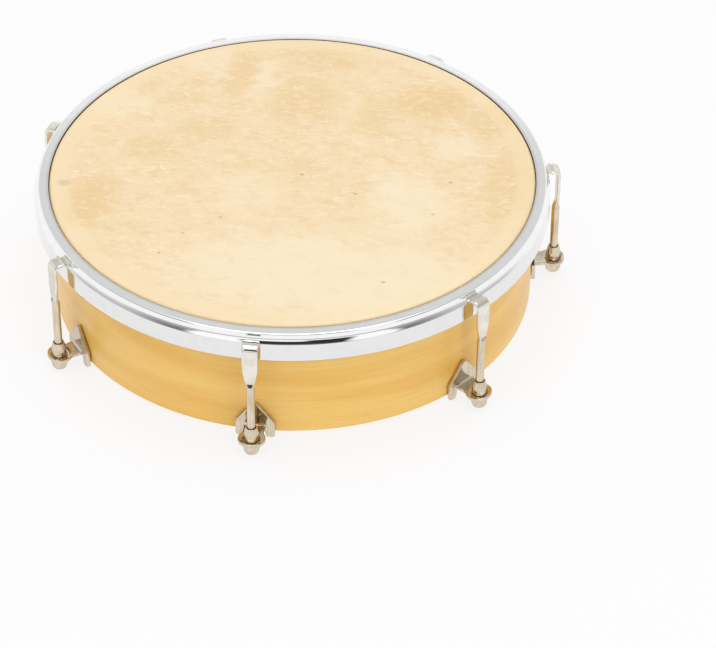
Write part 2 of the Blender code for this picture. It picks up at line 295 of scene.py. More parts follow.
RING_STEPS = 504                         # a whole number to a lug, and close to round
HOOP_STEPS = 756                         # finer, for the mirrored edges
SHELL_EDGE = 1.1
ROLL_WOBBLE = 0.35


def shell_mesh():
    inner = SHELL_RADIUS - SHELL_WALL
    profile = rounded([
        (SHELL_RADIUS, SHELL_TOP, BEARING_ROUND),
        (SHELL_RADIUS, SHELL_FOOT, SHELL_EDGE),
        (inner, SHELL_FOOT, SHELL_EDGE),
        (inner, SHELL_TOP, SHELL_EDGE),
    ], points=8)
    mesh = lathe("shell", profile, RING_STEPS)
    smooth_shaded(mesh, 60)
    return mesh


def skin_mesh():
    """The hide: flat, over the shell's edge, down its side and into the roll under the hoop."""
    bend = (BEND_CENTER, HEAD_Z - BEND_ROUND)
    flat = [(r, HEAD_Z) for r in np.linspace(0, BEND_CENTER, 46)[:-1]]
    over = arc(bend, BEND_ROUND, 90, 0, 14)
    roll = rounded([
        (SKIN_RADIUS, HEAD_Z - BEND_ROUND, 0),
        (SKIN_RADIUS, ROLL_TOP, 0.4),
        (ROLL_RADIUS, ROLL_TOP, 2.2),
        (ROLL_RADIUS, ROLL_FOOT, 2.6),
        (SKIN_RADIUS - SKIN, ROLL_FOOT, 1.6),
        (SKIN_RADIUS - SKIN, HEAD_Z - BEND_ROUND, 0),
    ], closed=False, points=7)[1:-1]
    under = arc(bend, BEND_ROUND - SKIN, 0, 90, 8)
    inside = [(r, HEAD_Z - SKIN) for r in np.linspace(BEND_CENTER, 0, 12)[1:]]
    mesh = lathe("drum_head", flat + over + roll + under + inside, RING_STEPS, closed=False)
    for vertex in mesh.vertices:
        x, y, z = vertex.co / MM
        radius = math.hypot(x, y)
        if z < ROLL_TOP - 1 and radius > SKIN_RADIUS + 1:
            pucker = noise.noise(Vector((x * 0.35, y * 0.35, z * 0.1))) - 0.3
            swell = 1 + ROLL_WOBBLE * pucker * smooth((ROLL_TOP - 1 - z) / 2) / radius
            vertex.co.x *= swell
            vertex.co.y *= swell
    smooth_shaded(mesh, 60)
    return mesh


def hoop_mesh():
    """Pressed hoop: a level crown beside the skin, a hollow flank that the claws catch, a skirt."""
    metal = HOOP_METAL
    hollow = (CROWN_RADIUS + COVE_ROUND, COVE_Z)
    cove = arc(hollow, COVE_ROUND, 180, 180 + COVE_TURN, 20)
    edge_z = cove[-1][1]
    under = arc(hollow, COVE_ROUND + metal, 180 + COVE_TURN - 6, 183, 14)
    crown = rounded([
        (LIP_RADIUS, LIP_Z, 0),
        (LIP_RADIUS, CROWN_Z, LIP_ROUND),
        (CROWN_RADIUS, CROWN_Z, CROWN_CORNER),
        (*cove[4], 0),
    ], closed=False, points=10)[:-1]
    skirt = rounded([
        (*cove[-1], 0),
        (HOOP_RADIUS, edge_z - 0.3, 0.5),
        (HOOP_RADIUS, SKIRT_FOOT, 0.4),
        (HOOP_RADIUS - metal, SKIRT_FOOT, 0.4),
        (HOOP_RADIUS - metal, under[0][1], 0.3),
        (*under[0], 0),
    ], closed=False, points=7)[1:-1]
    inside = rounded([
        (*under[-1], 0),
        (CROWN_RADIUS - metal, CROWN_Z - metal, 0.3),
        (SKIN_RADIUS + CLEARANCE + LIP_METAL, CROWN_Z - metal, 0.3),
        (SKIN_RADIUS + CLEARANCE + LIP_METAL, LIP_FOOT, 0.2),
        (SKIN_RADIUS + CLEARANCE, LIP_FOOT, 0.2),
        (SKIN_RADIUS + CLEARANCE, HEAD_Z - BEND_ROUND, 0.3),
        (LIP_RADIUS, LIP_Z, 0),
    ], closed=False, points=7)[1:-1]
    mesh = lathe("counter_hoop", crown + cove[4:] + skirt + under + inside, HOOP_STEPS)
    smooth_shaded(mesh, 40)
    return mesh


# ---------------------------------------------------------------- claw hook

HOOK_AROUND = 40
RIDGE_HALF_WIDTH = 3.75
# Upturned edge across the claw's tip, as (radius, height)
RIDGE = ((136.9, 67.45), (136.48, 68.0), (136.0, 68.12), (135.75, 67.95), (135.75, 67.2), (136.85, 67.2))
NOTCH_TOP = 44.8                         # pressed notch where the flat face runs out into the rod
NOTCH_HALF_WIDTH = 1.8
NOTCH_BACK = 140.75                      # how near to the axis the notch is pressed
NOTCH_FRONT = 143.5
NOTCH_DEPTH = 3.47
NOTCH_POINT = 0.1                        # its lower end's share of the width
NARROW_START = ROD_TOP + 13              # the claw narrows from here down, over NARROW_RUN
NARROW_RUN = 14.5
DRAWN_TOP = 62.0                         # the claw's bend ends above this
RUN_OUT_START = ROD_TOP + 4              # the flat face runs out to the rod's middle from here down
RUN_OUT = 7


def hook_route():
    """Middle line from the tip of the claw to the end of the rod, as (radius, height)."""
    level = CLAW_TOP - CLAW_METAL / 2
    lip = rounded([
        (CLAW_TIP_RADIUS, level + CLAW_TIP_RISE, 0),
        (CLAW_CREASE_RADIUS, level, 1.3),
        (CLAW_FACE_RADIUS, level, CLAW_BEND),
        (CLAW_FACE_RADIUS, ROD_TOP + 6, 0),
    ], closed=False, points=9)
    drawn = [(CLAW_FACE_RADIUS, z) for z in np.linspace(DRAWN_TOP, RUN_OUT_START, 24)]
    shift = CLAW_FACE_RADIUS - LUG_RADIUS
    run_out = [
        (CLAW_FACE_RADIUS - shift * smooth((RUN_OUT_START - z) / RUN_OUT), z)
        for z in np.linspace(ROD_TOP + 3.8, ROD_TOP - 3.2, 36)
    ]
    rod = [(LUG_RADIUS, z) for z in np.linspace(ROD_TOP - 4, ROD_FOOT, 6)]
    return lip[:-1] + drawn + run_out + rod


def claw_width(z):
    """Width of the hook at a height: full on the claw, drawn in to the rod below it."""
    narrow = smooth((NARROW_START - z) / NARROW_RUN) ** 1.25
    return CLAW_WIDTH + (2 * ROD_RADIUS - CLAW_WIDTH) * narrow


def hook_mesh():
    """Loft of rounded oblongs along the route, in the lug's own frame: X outward, Z up."""
    route = [Vector((r, 0, z)) for r, z in hook_route()]
    turns = np.arange(HOOK_AROUND) * math.tau / HOOK_AROUND
    rings = []
    for i, point in enumerate(route):
        along = (route[min(i + 1, len(route) - 1)] - route[max(i - 1, 0)]).normalized()
        outward = Vector((-along.z, 0, along.x))
        rounder = smooth((ROD_TOP + 3 - point.z) / 5)
        width = claw_width(point.z) / 2
        metal = (CLAW_METAL / 2) * (1 - rounder) + ROD_RADIUS * rounder
        power = 2 / (7 - 5 * rounder)
        ring = []
        for t in turns:
            c, s = math.cos(t), math.sin(t)
            across = width * math.copysign(abs(c) ** power, c)
            out = metal * math.copysign(abs(s) ** power, s)
            ring.append(point + Vector((0, across, 0)) + outward * out)
        rings.append(ring)
    end, begin = rings[-1], rings[0]
    middle = sum(end, Vector()) / HOOK_AROUND
    rings.append([middle + (p - middle) * 0.8 - Vector((0, 0, 0.4)) for p in end])
    tip = sum(begin, Vector()) / HOOK_AROUND
    rings.insert(0, [tip + (p - tip) * 0.8 - Vector((0.2, 0, 0)) for p in begin])
    ridge = [[(r, half, z) for r, z in RIDGE] for half in (-RIDGE_HALF_WIDTH, RIDGE_HALF_WIDTH)]
    claw = joined("claw", loft("hook", rings), [loft("ridge", ridge)])
    notch = []
    for half in (-NOTCH_HALF_WIDTH, NOTCH_HALF_WIDTH):
        top = [(r, half, NOTCH_TOP) for r in (NOTCH_BACK, NOTCH_FRONT)]
        notch.append([*top, (NOTCH_FRONT, half * NOTCH_POINT, NOTCH_TOP - NOTCH_DEPTH)])
    mesh = joined("tension_hook", claw, [loft("notch", notch)], "DIFFERENCE")
    smooth_shaded(mesh, 32)
    return mesh


# ---------------------------------------------------------------- bracket

PLATE_EDGE = 0.55
PLATE_CORNER = 1.6
PLATE_SHOULDER = 2.4
PEAK_ROUND = 2.3
PEAK_LOST = 0.85                         # what its rounding takes off the peak
MOUTH_ROUND = 0.7
MOUTH_SLOPE = 1.2                        # how much narrower each side of the mouth is at its top
EYE_RIM = 0.25
EYE_AROUND = 96
WAIST_DEPTH = 0.35                       # how far each side of the tongue is drawn in
WAIST_PLACE = 6.6                        # from the middle of the hole
WAIST_SPREAD = 2.0
EYE_BLEND = 0.15
COVE_FILLET = 1.3
COVE_SUNK = 0.5                          # how far the fillet reaches into plate and tongue
FAR = 1e9                                # longer than any reach in the bracket


def plate_outline():
    """House-shaped plate seen from outside, X across and Y up from its feet."""
    half, height = PLATE_WIDTH / 2, PLATE_TOP - PLATE_FOOT
    mouth, mouth_top = TONGUE_WIDTH / 2, EYE_TOP - TONGUE_METAL - PLATE_FOOT
    return rounded([
        (half, 0, PLATE_CORNER),
        (half, PLATE_SIDE, PLATE_SHOULDER),
        (0, height + PEAK_LOST, PEAK_ROUND),
        (-half, PLATE_SIDE, PLATE_SHOULDER),
        (-half, 0, PLATE_CORNER),
        (-mouth, 0, MOUTH_ROUND),
        (-mouth + MOUTH_SLOPE, mouth_top, 0.9),
        (mouth - MOUTH_SLOPE, mouth_top, 0.9),
        (mouth, 0, MOUTH_ROUND),
    ], points=7)


def eye_reach(turn):
    """Distance from the middle of the hole to the edge of the eye and tongue, by direction."""
    c, s = math.cos(turn), math.sin(turn)
    if c > 0:
        return 1 / math.hypot(c / EYE_LENGTH, s / EYE_HALF_WIDTH)
    to_plate = LUG_RADIUS - (SHELL_RADIUS + CLEARANCE + PLATE_METAL / 2)
    end = to_plate / -c if c < -1e-6 else FAR
    half = TONGUE_WIDTH / 2
    along = -c * min(end, half / abs(s) if abs(s) > 1e-6 else FAR)
    waist = WAIST_DEPTH * math.exp(-((along - WAIST_PLACE) / WAIST_SPREAD) ** 2)
    side = (half - waist) / abs(s) if abs(s) > 1e-6 else FAR
    tongue = min(end, side)
    if EYE_HALF_WIDTH > tongue:
        return EYE_HALF_WIDTH
    return tongue + EYE_BLEND * math.exp(EYE_HALF_WIDTH - tongue)


def eye_mesh():
    """Tongue and eye as one ring round the hole, dished a little, with a raised rim."""
    top, foot = EYE_TOP, EYE_TOP - TONGUE_METAL
    section = [
        (0.0, foot + 0.35), (0.0, top - 0.75), (0.04, top - 0.5), (0.12, top - EYE_RIM - 0.1),
        (0.3, top - EYE_RIM), (0.6, top - EYE_RIM * 0.8), (0.78, top - 0.06), (0.88, top),
        (0.94, top - 0.05), (0.98, top - 0.2), (1.0, top - 0.5), (1.0, foot + 0.5),
        (0.98, foot + 0.2), (0.93, foot), (0.08, foot), (0.02, foot + 0.12),
    ]
    turns = np.arange(EYE_AROUND) * math.tau / EYE_AROUND
    rings = []
    for share, z in section:
        ring = []
        for t in turns:
            reach = EYE_HOLE + (eye_reach(t) - EYE_HOLE) * share
            ring.append((LUG_RADIUS + reach * math.cos(t), reach * math.sin(t), z))
        rings.append(ring)
    return loft("eye", rings, closed=True)


def cove_mesh():
    """Hollow fillet where the tongue folds out of the plate."""
    face = SHELL_RADIUS + CLEARANCE + PLATE_METAL
    size = COVE_FILLET
    sunk = COVE_SUNK
    hollow = arc((face + size, EYE_TOP + size), size, 180, 270, 7)
    foot = [(face + size, EYE_TOP - sunk), (face - sunk, EYE_TOP - sunk)]
    profile = [(face - sunk, EYE_TOP + size), *hollow, *foot]
    half = TONGUE_WIDTH / 2 - 0.1
    rings = [[(x, side, z) for x, z in profile] for side in (-half, half)]
    return loft("cove", rings)


def bracket_mesh():
    back = SHELL_RADIUS + CLEARANCE
    plate = slab("plate", plate_outline(), PLATE_METAL, PLATE_EDGE)
    stand_up = Matrix(((0, 0, 1), (1, 0, 0), (0, 1, 0))).to_4x4()
    plate.transform(Matrix.Translation(Vector((back + PLATE_METAL / 2, 0, PLATE_FOOT)) * MM) @ stand_up)
    mesh = joined("bracket", plate, [eye_mesh(), cove_mesh()])
    smooth_shaded(mesh, 32)
    return mesh


# ---------------------------------------------------------------- nut

NUT_AROUND = 64


def nut_mesh():
    """Neck, collar through the eye, tapered head and rounded foot with a slot across it."""
    head_top = EYE_TOP - TONGUE_METAL - CLEARANCE
    profile = rounded([
        (0, NUT_TOP - NUT_BORE_DEPTH, 0),
        (NUT_BORE, NUT_TOP - NUT_BORE_DEPTH, 0.1),
        (NUT_BORE, NUT_TOP, 0.2),
        (NUT_NECK, NUT_TOP, 0.3),
        (NUT_COLLAR, NUT_TOP - NUT_NECK_LENGTH, 0.8),
        (NUT_COLLAR, head_top, 0.2),
        (NUT_HEAD, head_top, 0.35),
        (NUT_HEAD - NUT_TAPER, NUT_TAPER_FOOT, 0.8),
        (NUT_FOOT, 0, 0.5),
        (0, 0, 0),
    ], closed=False, points=6)
    body = lathe("nut", profile, NUT_AROUND, closed=False)
    reach = NUT_HEAD + 1
    slot = box_mesh("slot", (-reach, -NUT_SLOT / 2, -1), (reach, NUT_SLOT / 2, NUT_SLOT_DEPTH))
    mesh = joined("tuning_nut", body, [slot], "DIFFERENCE")
    smooth_shaded(mesh, 35)
    return mesh


# ---------------------------------------------------------------- node helpers


def add(tree, kind, sockets=None, **settings):
    """Adds a node. A socket takes a value, or the output that is linked into it."""
    made = tree.nodes.new(kind)
    for key, value in settings.items():
        setattr(made, key, value)
    for key, value in (sockets or {}).items():
        if isinstance(value, bpy.types.NodeSocket):
            tree.links.new(value, made.inputs[key])
        else:
            made.inputs[key].default_value = value
    return made


def calc(tree, operation, *values, clamp=False):
    """A Math node's result."""
    sockets = dict(enumerate(values))
    return add(tree, "ShaderNodeMath", sockets, operation=operation, use_clamp=clamp).outputs[0]


def stretch(tree, vector, scale, location=(0, 0, 0)):
    """The vector times scale, plus location."""
    made = add(tree, "ShaderNodeMapping", {"Vector": vector, "Scale": scale, "Location": location})
    return made.outputs[0]


def grain(tree, vector, scale, detail=4.0, roughness=0.5, distortion=0.0):
    """A Noise Texture's value."""
    sockets = {"Vector": vector, "Scale": scale, "Detail": detail, "Roughness": roughness,
               "Distortion": distortion}
    return add(tree, "ShaderNodeTexNoise", sockets).outputs["Fac"]


def ranged(tree, value, low, high, to_low=0.0, to_high=1.0):
    """The value taken smoothly from one range to another."""
    sockets = {"Value": value, "From Min": low, "From Max": high, "To Min": to_low, "To Max": to_high}
    return add(tree, "ShaderNodeMapRange", sockets, interpolation_type="SMOOTHSTEP").outputs[0]


def mixed(tree, factor, first, second, blend="MIX"):
    """A colour Mix node's result."""
    made = tree.nodes.new("ShaderNodeMix")
    made.data_type = "RGBA"
    made.blend_type = blend
    for index, value in ((0, factor), (6, first), (7, second)):
        if isinstance(value, bpy.types.NodeSocket):
            tree.links.new(value, made.inputs[index])
        else:
            made.inputs[index].default_value = value
    return made.outputs[2]


def srgb(red, green, blue):
    """A colour given as 0-255 screen values, in the linear values that a shader takes."""
    shares = [c / 255 for c in (red, green, blue)]
    return (*[c / 12.92 if c <= 0.04045 else ((c + 0.055) / 1.055) ** 2.4 for c in shares], 1.0)


def new_material(name):
    material = bpy.data.materials.new(name)
    material.use_nodes = True
    tree = material.node_tree
    return material, tree, tree.nodes["Principled BSDF"]


def place_of(tree):
    """The surface point in millimetres about the drum's axis."""
    point = add(tree, "ShaderNodeTexCoord").outputs["Object"]
    return stretch(tree, point, (1 / MM,) * 3, (0, -AXIS_Y, 0))


def bumped(tree, shader, height, distance, strength=1.0):
    made = add(tree, "ShaderNodeBump", {"Height": height, "Distance": distance * MM, "Strength": strength})
    tree.links.new(made.outputs[0], shader.inputs["Normal"])


# ---------------------------------------------------------------- materials


def wood_material():
    """Pale lacquered wood, its grain running round the shell."""
    material, tree, shader = new_material("lacquered_wood")
    place = place_of(tree)
    height = add(tree, "ShaderNodeSeparateXYZ", {0: place}).outputs["Z"]
    broad = grain(tree, stretch(tree, place, (0.010, 0.010, 0.07)), 1.0, 3, 0.5)
    fine = grain(tree, stretch(tree, place, (0.02, 0.02, 1.1)), 1.0, 5, 0.6, 0.3)
    streaks = grain(tree, stretch(tree, place, (0.035, 0.035, 3.2)), 1.0, 3, 0.6)
    pores = grain(tree, stretch(tree, place, (0.25, 0.25, 9.0)), 1.0, 2, 0.6)
    color = mixed(tree, ranged(tree, broad, 0.32, 0.68), srgb(236, 184, 88), srgb(245, 202, 112))
    color = mixed(tree, ranged(tree, fine, 0.38, 0.70, 0.0, 0.35), color, srgb(228, 172, 74))
    color = mixed(tree, ranged(tree, streaks, 0.52, 0.72, 0.0, 0.22), color, srgb(218, 162, 72))
    color = mixed(tree, ranged(tree, pores, 0.58, 0.72, 0.0, 0.25), color, srgb(202, 146, 66))
    # Painted shade: the wood is darkened just below the hoop's skirt, where the skirt shades it.
    painted_shade_under_skirt = ranged(tree, height, SKIRT_FOOT - 9, SKIRT_FOOT + 3, 0.0, 0.3)
    color = mixed(tree, painted_shade_under_skirt, color, srgb(196, 140, 70))
    tree.links.new(color, shader.inputs["Base Color"])
    shader.inputs["Roughness"].default_value = 0.38
    shader.inputs["Coat Weight"].default_value = 0.2
    shader.inputs["Specular IOR Level"].default_value = 0.35
    shader.inputs["Coat Roughness"].default_value = 0.10
    bumped(tree, shader, fine, 0.05, 0.4)
    return material


# Patches of the hide in millimetres from the axis: across, along, half width, half length, strength
TAN_PATCHES = (
    (-42, 86, 9, 27, 0.7), (0, 107, 24, 13, 0.6), (-4, 66, 20, 25, 0.7), (36, 60, 13, 20, 0.55),
    (66, 75, 21, 19, 1.0), (98, 60, 14, 17, 0.75), (113, 5, 14, 38, 0.7), (-100, -38, 15, 26, 0.9),
    (-50, 35, 15, 12, 0.6), (-77, 14, 16, 14, 0.6), (5, 7, 12, 9, 0.5), (-68, 62, 12, 14, 0.3),
)
PALE_PATCHES = (
    (-28, 82, 7, 20, 0.6), (-60, 98, 16, 11, 0.5), (82, 35, 13, 13, 0.6), (66, -20, 24, 27, 0.8),
    (30, -84, 92, 40, 0.9), (-100, 50, 18, 15, 0.6), (-26, -22, 24, 20, 0.5), (50, 2, 13, 13, 0.5),
)
SPECKS = (
    (5, 0, 1.3, 1.0, 0.7), (35, -13, 1.1, 0.9, 0.6), (83, 4, 1.2, 1.0, 0.6), (59, -85, 1.3, 0.9, 0.7),
    (-31, -43, 1.1, 1.0, 0.6), (-48, -59, 1.2, 0.9, 0.5), (-57, -77, 1.0, 1.0, 0.6),
    (77, -25, 1.0, 0.8, 0.5),
)
SMUDGE = ((-117, -25, 4.0, 3.2, 0.45),)
WARP = 22.0                              # how far the patches' outlines are pulled about


def patches(tree, place, spots):
    """Soft ovals added up, each given as across, along, half width, half length, strength."""
    total = None
    for x, y, half_width, half_length, strength in spots:
        scale = (1 / half_width, 1 / half_length, 0)
        near = stretch(tree, place, scale, (-x * scale[0], -y * scale[1], 0))
        apart = add(tree, "ShaderNodeVectorMath", {0: near}, operation="LENGTH").outputs["Value"]
        share = ranged(tree, apart, 0.45, 1.3, strength, 0.0)
        total = share if total is None else calc(tree, "ADD", total, share)
    return total


def hide_material():
    """Natural hide: tan and pale patches, mottling, fibres across, a few specks and a smudge. Its
    edge is smoother, its bend is darker tan towards the hoop, and low on the bend it is painted
    dark brown as shade in the gap under the hoop."""
    material, tree, shader = new_material("natural_hide")
    place = place_of(tree)
    flat = stretch(tree, place, (1, 1, 0))
    radius = add(tree, "ShaderNodeVectorMath", {0: flat}, operation="LENGTH").outputs["Value"]
    height = add(tree, "ShaderNodeSeparateXYZ", {0: place}).outputs["Z"]
    pull = add(tree, "ShaderNodeTexNoise", {"Vector": stretch(tree, flat, (0.06, 0.09, 1)), "Scale": 1.0,
                                            "Detail": 6.0, "Roughness": 0.65}).outputs["Color"]
    shifted = stretch(tree, flat, (1, 1, 1), (-WARP / 2, -WARP / 2, 0))
    warped = add(tree, "ShaderNodeVectorMath", {0: pull, 1: (WARP, WARP, 0), 2: shifted},
                 operation="MULTIPLY_ADD").outputs["Vector"]
    edge = ranged(tree, radius, 115.5, 119.5)
    inside = calc(tree, "SUBTRACT", 1.0, edge)
    mottle = grain(tree, stretch(tree, flat, (0.07, 0.11, 1)), 1.0, 7, 0.68, 0.5)
    curl = grain(tree, stretch(tree, flat, (0.16, 0.30, 1)), 1.0, 5, 0.7, 1.2)
    fibres = grain(tree, stretch(tree, flat, (0.10, 0.9, 1)), 1.0, 4, 0.65, 0.5)
    pores = grain(tree, flat, 1.1, 3, 0.6)
    flecks = grain(tree, stretch(tree, flat, (0.13, 0.34, 1)), 1.0, 5, 0.65, 0.8)
    color = mixed(tree, patches(tree, warped, PALE_PATCHES), srgb(242, 218, 178), srgb(246, 229, 196))
    color = mixed(tree, patches(tree, warped, TAN_PATCHES), color, srgb(235, 203, 151))
    plain = patches(tree, flat, PALE_PATCHES)
    lively = calc(tree, "SUBTRACT", 1.0, calc(tree, "MULTIPLY", plain, 0.75), clamp=True)
    lively = calc(tree, "MULTIPLY", lively, calc(tree, "SUBTRACT", 1.0, calc(tree, "MULTIPLY", edge, 0.6)))
    for value, low, high, most, tone in (
        (mottle, 0.47, 0.66, 0.70, srgb(235, 205, 157)),
        (curl, 0.52, 0.68, 0.50, srgb(232, 201, 153)),
        (fibres, 0.53, 0.70, 0.40, srgb(231, 201, 155)),
        (pores, 0.58, 0.74, 0.25, srgb(224, 186, 140)),
        (curl, 0.46, 0.30, 0.65, srgb(250, 235, 206)),
        (mottle, 0.45, 0.30, 0.40, srgb(248, 231, 199)),
        (flecks, 0.55, 0.66, 0.42, srgb(252, 238, 211)),
    ):
        share = calc(tree, "MULTIPLY", ranged(tree, value, low, high, 0.0, most), lively)
        color = mixed(tree, share, color, tone)
    color = mixed(tree, patches(tree, place, SPECKS), color, srgb(200, 156, 114))
    color = mixed(tree, calc(tree, "MULTIPLY", edge, 0.4), color, srgb(246, 225, 184))
    color = mixed(tree, patches(tree, place, SMUDGE), color, srgb(200, 176, 165))
    # Darker tan on the bend towards the hoop; lower on the bend, dark brown painted shade of the gap under
    # the hoop.
    color = mixed(tree, ranged(tree, radius, 126.3, 127.4), color, srgb(228, 202, 152))
    color = mixed(tree, ranged(tree, height, HEAD_Z - 1.4, HEAD_Z - 2.1), color, srgb(110, 80, 50))
    tree.links.new(color, shader.inputs["Base Color"])
    tree.links.new(ranged(tree, mottle, 0.3, 0.7, 0.46, 0.58), shader.inputs["Roughness"])
    shader.inputs["Specular IOR Level"].default_value = 0.35
    swell = calc(tree, "MULTIPLY", calc(tree, "ADD", mottle, calc(tree, "MULTIPLY", curl, 0.4)), inside)
    bumped(tree, shader, calc(tree, "ADD", swell, calc(tree, "MULTIPLY", pores, 0.06)), 0.35, 0.5)
    return material


WORN = (0.86, 0.82, 0.76, 1)             # multiplies the plating in its streaks
PAINTED_EDGE_SHADE = (0.42, 0.34, 0.26, 1)      # painted shade: multiplies the plating at its outlines
# painted shade: brown of the shaded gap between skin and hoop
GAP_SHADE_BROWN = srgb(136, 114, 82)


def metal_material(name, color, tint, gloss, low_painted_shade, low_top, low_soft, low_rough, gap_shade, wear_and_edge_shade):
    """Plated steel with a faint cloud, roughness from gloss[0] to gloss[1]. Below low_top it is
    rougher by low_rough and its colour is darkened: painted shade and painted reflection of the
    darker things it mirrors there. High up it is painted brown and not metallic as shade in the
    gap beside the skin, fully within the first of the two gap-shade radii and fading out by the
    second. The wear-and-edge-shade share sets how much it is streaked with wear low down and how
    much painted shade darkens it where it turns away."""
    material, tree, shader = new_material(name)
    place = place_of(tree)
    height = add(tree, "ShaderNodeSeparateXYZ", {0: place}).outputs["Z"]
    flat = stretch(tree, place, (1, 1, 0))
    radius = add(tree, "ShaderNodeVectorMath", {0: flat}, operation="LENGTH").outputs["Value"]
    cloud = grain(tree, place, 0.18, 3, 0.5)
    rub = grain(tree, stretch(tree, place, (1, 1, 6)), 0.8, 3, 0.6)
    plated = mixed(tree, ranged(tree, cloud, 0.35, 0.7), color, tint)
    low = ranged(tree, height, low_top - low_soft, low_top + low_soft, 1.0, 0.0)
    # Below low_top the plating is darkened by this tint: painted shade and painted reflection of what it
    # mirrors there.
    plated = mixed(tree, 1.0, plated, mixed(tree, low, (1, 1, 1, 1), low_painted_shade), "MULTIPLY")
    lines = grain(tree, stretch(tree, place, (1, 1, 0.06)), 1.5, 2, 0.5)
    streaked = calc(tree, "MULTIPLY", ranged(tree, lines, 0.36, 0.62, wear_and_edge_shade, 0.0), low)
    plated = mixed(tree, streaked, plated, WORN, "MULTIPLY")
    # Painted shade: the plating is darkened where its surface turns away from view.
    facing = add(tree, "ShaderNodeLayerWeight", {"Blend": 0.5}).outputs["Facing"]
    plated = mixed(tree, ranged(tree, facing, 0.5, 0.95, 0.0, wear_and_edge_shade), plated, PAINTED_EDGE_SHADE, "MULTIPLY")
    # Painted shade: brown and not metallic on the crown's inner wall, fading across its inner edge, for
    # the gap beside the skin.
    shade_core = ranged(tree, radius, gap_shade[0] - 0.05, gap_shade[0] + 0.05, 1.0, 0.0)
    gap_shade_mask = calc(tree, "MAXIMUM", shade_core, ranged(tree, radius, *gap_shade, 0.42, 0.0))
    gap_shade_mask = calc(tree, "MULTIPLY", gap_shade_mask, ranged(tree, height, SKIRT_TOP - 1, SKIRT_TOP))
    plated = mixed(tree, gap_shade_mask, plated, GAP_SHADE_BROWN)
    tree.links.new(plated, shader.inputs["Base Color"])
    rough = calc(tree, "MULTIPLY_ADD", low, low_rough, ranged(tree, rub, 0.3, 0.75, *gloss))
    tree.links.new(rough, shader.inputs["Roughness"])
    tree.links.new(calc(tree, "SUBTRACT", 1.0, gap_shade_mask), shader.inputs["Metallic"])
    bumped(tree, shader, cloud, 0.02, 0.2)
    return material


# ---------------------------------------------------------------- the drum

WOOD = wood_material()
HIDE = hide_material()
# The nickelled pieces all lie outside the shell, so the painted gap shade never reaches them.
# The chrome's crown is painted brown on its inner wall as shade of the gap beside the skin.
CHROME = metal_material("chromed_steel", (0.93, 0.935, 0.93, 1), (0.90, 0.905, 0.90, 1), (0.035, 0.075),
                        (0.885, 0.885, 0.885, 1), SKIRT_TOP, 0.4, 0.0,
                        (LIP_RADIUS + 0.06, LIP_RADIUS + 2.0), 0.0)
# The nickel's brownish tint low down is a painted reflection of the wood; the chrome's slight darkening
# below the skirt's top is painted shade.
NICKEL = metal_material("nickelled_steel", (0.84, 0.82, 0.75, 1), (0.75, 0.715, 0.62, 1), (0.05, 0.11),
                        (0.90, 0.83, 0.74, 1), ROD_TOP + 1, 3.0, 0.06,
                        (SHELL_RADIUS - 1, SHELL_RADIUS), 0.8)

show("round_shell", "shell", shell_mesh(), WOOD)
show("skin", "drum_head", skin_mesh(), HIDE)
show("rim_hoop", "counter_hoop", hoop_mesh(), CHROME)

HOOK, BRACKET, NUT = hook_mesh(), bracket_mesh(), nut_mesh()
for i, own_turn in enumerate(NUT_TURNS):
    n = i + 1
    around = math.tau * i / LUGS - math.pi / 2
    spot = (LUG_RADIUS * math.cos(around), LUG_RADIUS * math.sin(around))
    show(f"claw_hook_{n}", f"tension_hook_{n}", HOOK, NICKEL, around)
    show(f"lug_bracket_{n}", f"bracket_{n}", BRACKET, NICKEL, around)
    show(f"slotted_nut_{n}", f"tuning_nut_{n}", NUT, NICKEL, around + own_turn, spot)

# ---------------------------------------------------------------- floor, light and camera

CAMERA_RISE = 38.75                      # degrees above the floor
CAMERA_ROLL = 0.35
CAMERA_TURN = 7.59                       # degrees round the drum's axis from -Y
CAMERA_DISTANCE = 1629.8                 # millimetres from the aim
CAMERA_LENS = 165.45
AIM_ACROSS = 34.8                        # from the drum's axis, in the camera's own heading
AIM_BACK = -124.6
AIM_Z = 71.0
FLOOR_SIZE = 60.0                        # metres
FLOOR_GLOW = 0.83
HORIZON = (0.975, 0.97, 0.975, 1)
# How bright the room is
WALL = 0.56
WALL_TOP = 0.20                          # higher up, at the camera's side
WALL_BACK = 0.72
LIGHT_LEVEL = 1.05
GAP_LEVEL = 0.03
CEILING = 1.6
# Where the room changes: degrees aside from the camera or up, as seen from the drum
FRONT_TO_SIDE = (52, 76)
SIDE_TO_BACK = (92, 116)
BACK_RISE = (33.9, 35.9)
CEILING_RISE = (58, 68)
# Windows of the room: degrees (to the side, up), low and high, as seen from the drum
SOFT_LIGHT = ((-36, 9), (38, 62))
LIGHT_SPREAD = 0.011                     # the soft light widens by this share for each degree up
DARK_GAP = ((-21, 23), (26, 48))
DARK_GAP_RIGHT = ((6, 15), (26, 48))     # where it reaches further down
# Lamps: name, place and aim in metres, width and height, watts, and whether the metal mirrors it
LAMPS = (
    ("overhead", (0.0, 0.1, 2.0), (0, 0, 0), (1.2, 1.2), 5.3, True),
    ("front_fill", (1.4, -1.9, 0.6), (0, 0, 0.03), (1.6, 0.8), 9.5, False),
    ("left_fill", (-1.6, -1.6, 0.6), (0, 0, 0.03), (1.6, 0.8), 4.5, False),
)


